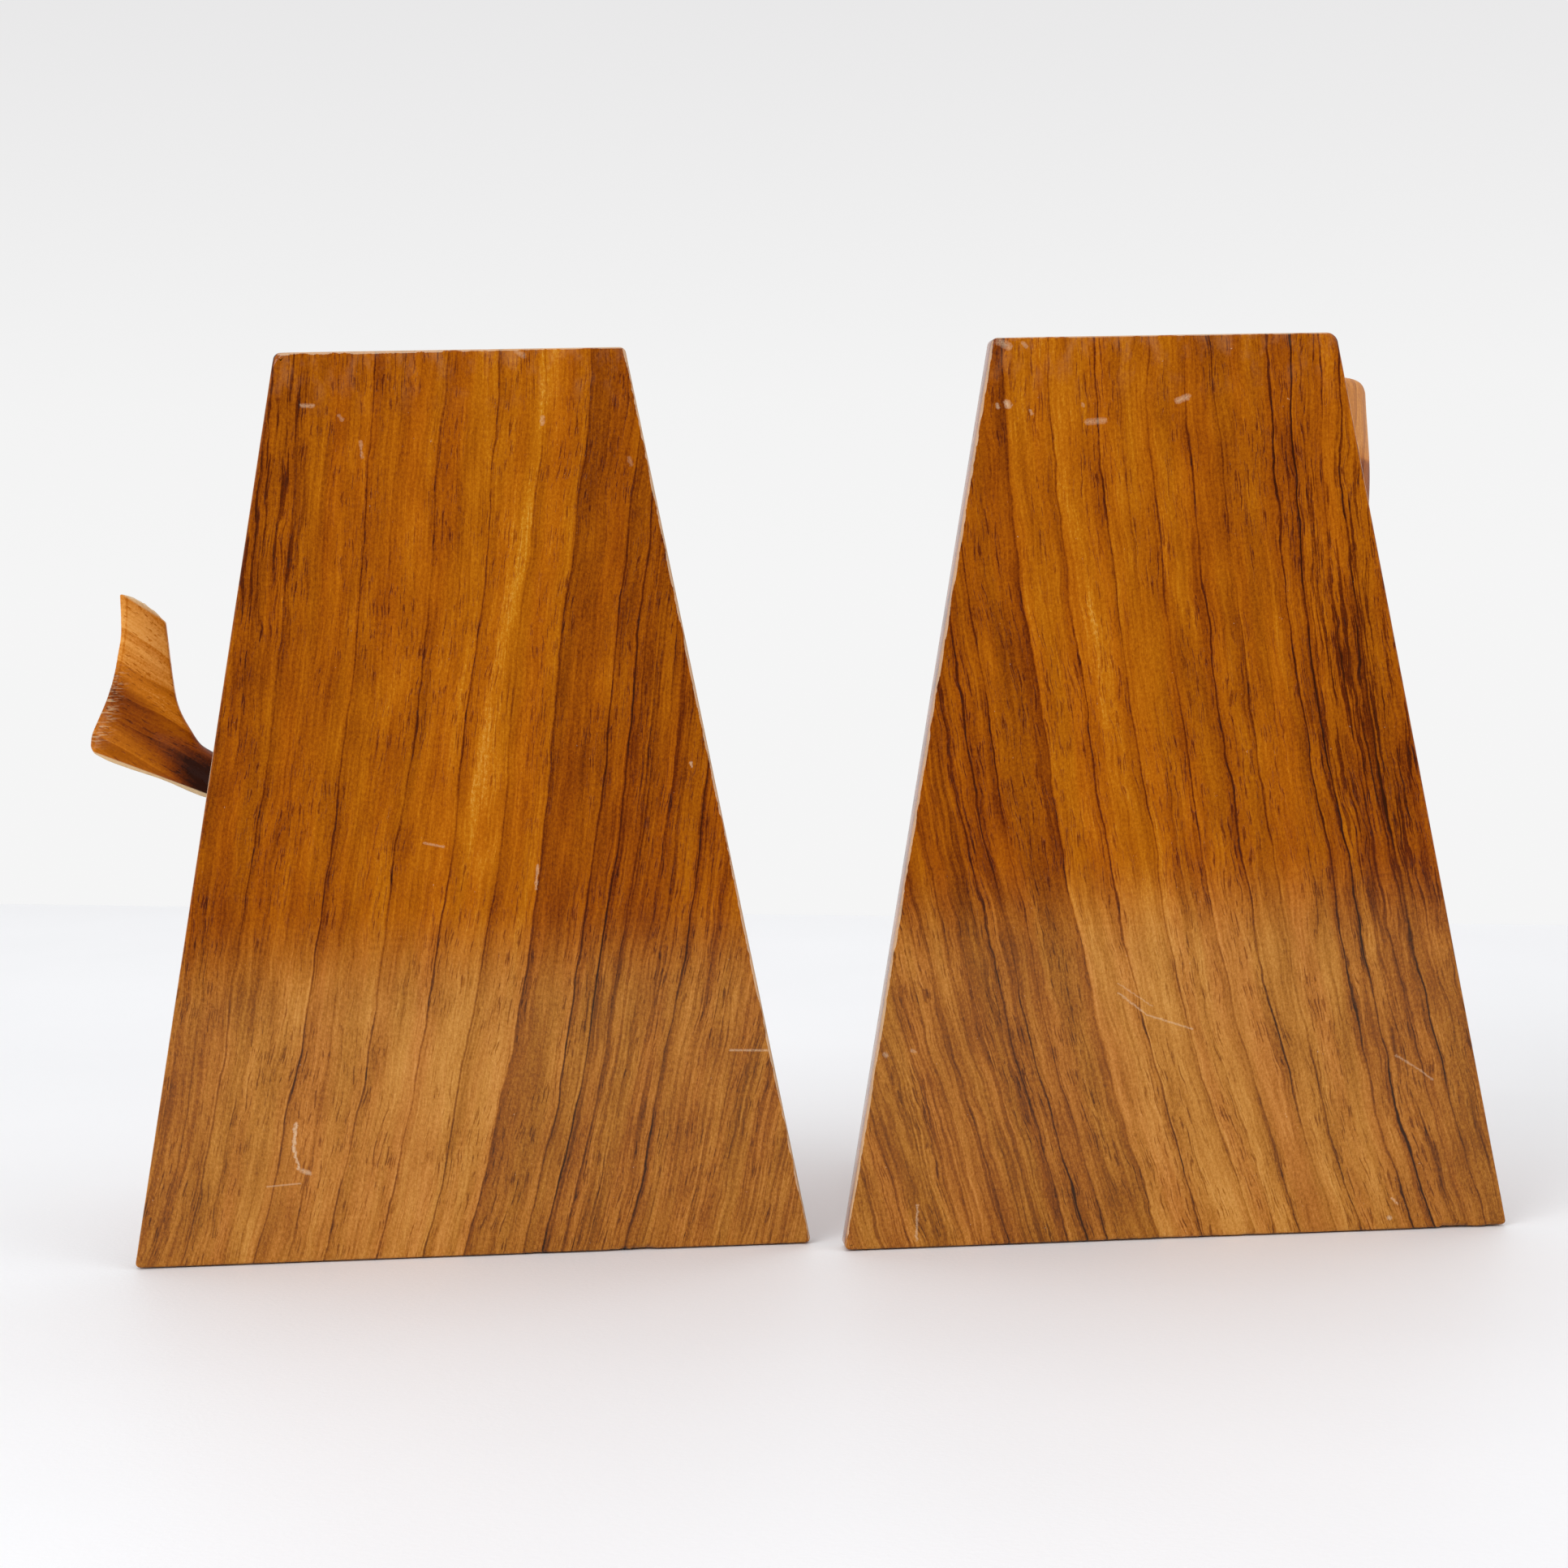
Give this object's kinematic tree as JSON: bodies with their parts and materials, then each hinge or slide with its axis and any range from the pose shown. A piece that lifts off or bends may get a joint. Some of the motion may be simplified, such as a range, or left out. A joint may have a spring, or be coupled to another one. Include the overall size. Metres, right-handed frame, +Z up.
{
  "type": "book ends",
  "caption": "Pair of free-standing wooden book ends: tapered upright boards on weighted bases, a carved whale's tail behind one and a whale's head behind the other.",
  "frame": {"origin": "on the shelf, under the middle of the pair's overall box", "axes": "+X along the shelf from the tail book end to the head book end, +Y from the boards' book faces towards the carvings, +Z up"},
  "size_m": [0.2828, 0.1054, 0.178],
  "materials": {
    "board_wood": "satin lacquered walnut with dark streaks, orange-brown above and paler below",
    "base_wood": "satin lacquered walnut",
    "carving_wood": "hand-carved, sanded and oiled walnut, sapwood to heartwood",
    "dowel_wood": "plain birch",
    "dark_wood": "polished ebony",
    "steel": "sawn and turned bar",
    "brass": "plain slotted screw",
    "felt": "pressed wool felt"
  },
  "bodies": {
    "left_book_end": {"left_upright_board": "board_wood", "left_base_board": "base_wood", "left_base_felt": "felt", "left_board_dowel_left": "dowel_wood", "left_board_dowel_middle": "dowel_wood", "left_board_dowel_right": "dowel_wood", "left_figure_screw_near": "brass", "left_figure_screw_far": "brass", "left_ballast_slug_left": "steel", "left_ballast_slug_right": "steel", "left_tail_stock": "carving_wood", "left_tail_flukes": "carving_wood", "left_fluke_dowel": "dowel_wood"},
    "right_book_end": {"right_upright_board": "board_wood", "right_base_board": "base_wood", "right_base_felt": "felt", "right_board_dowel_left": "dowel_wood", "right_board_dowel_middle": "dowel_wood", "right_board_dowel_right": "dowel_wood", "right_figure_screw_near": "brass", "right_figure_screw_far": "brass", "right_ballast_slug_left": "steel", "right_ballast_slug_right": "steel", "right_whale_head": "carving_wood", "right_lower_jaw": "carving_wood", "right_eye_outer": "dark_wood", "right_eye_inner": "dark_wood", "right_fin_outer": "carving_wood", "right_fin_inner": "carving_wood"}
  },
  "joints": [
    {"name": "pair_spacing", "type": "slide", "parent": "left_book_end", "child": "right_book_end", "axis": [1, 0, 0], "range_m": [0, 0.3]}
  ]
}
